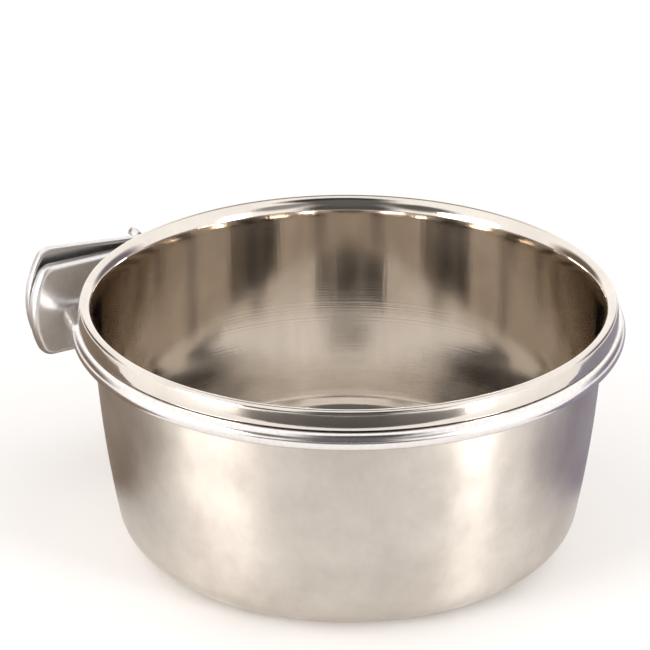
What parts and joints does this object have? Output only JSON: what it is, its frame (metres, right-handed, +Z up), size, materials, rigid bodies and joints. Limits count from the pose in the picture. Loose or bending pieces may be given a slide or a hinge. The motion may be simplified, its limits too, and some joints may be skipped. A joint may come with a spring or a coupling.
{
  "type": "clamp-on coop cup with lift-out bowl",
  "caption": "Round steel feed bowl that lifts out of a wire ring, with a screw clamp and wing nut that grips cage bars.",
  "frame": {"origin": "centre of the bowl's flat base, on the bowl's axis", "axes": "+Z up along the bowl's axis, +Y from the bowl towards the clamp and along its bolt"},
  "size_m": [0.1226, 0.1483, 0.0574],
  "materials": {
    "drawn_steel": "satin deep-drawn stainless steel",
    "wire_steel": "bright polished stainless wire",
    "plate_steel": "polished pressed stainless sheet",
    "hardware_steel": "bright stainless fasteners"
  },
  "bodies": {
    "holder": {"ring_wire": "wire_steel", "front_jaw_plate": "plate_steel", "carriage_bolt": "hardware_steel"},
    "bowl": {"bowl": "drawn_steel"},
    "washer": {"flat_washer": "hardware_steel"},
    "rear_jaw": {"rear_jaw_plate": "plate_steel"},
    "wing_nut": {"wing_nut": "hardware_steel"}
  },
  "joints": [
    {"name": "bowl_lift", "type": "slide", "parent": "holder", "child": "bowl", "axis": [0, 0, 1], "range_m": [0, 0.07]},
    {"name": "clamp_travel", "type": "slide", "parent": "holder", "child": "washer", "axis": [0, 1, 0], "range_m": [0, 0.012]},
    {"name": "jaw_swivel", "type": "hinge", "parent": "washer", "child": "rear_jaw", "pos_m": [0, 0.0675, 0.0389], "axis": [0, 1, 0], "continuous": true},
    {"name": "wing_nut_turn", "type": "hinge", "parent": "washer", "child": "wing_nut", "pos_m": [0, 0.07, 0.0389], "axis": [0, 1, 0], "range_deg": [0, 5400]}
  ],
  "couplings": [
    {"joint": "clamp_travel", "follows": "wing_nut_turn", "m_per_rad": 0.00012732}
  ]
}
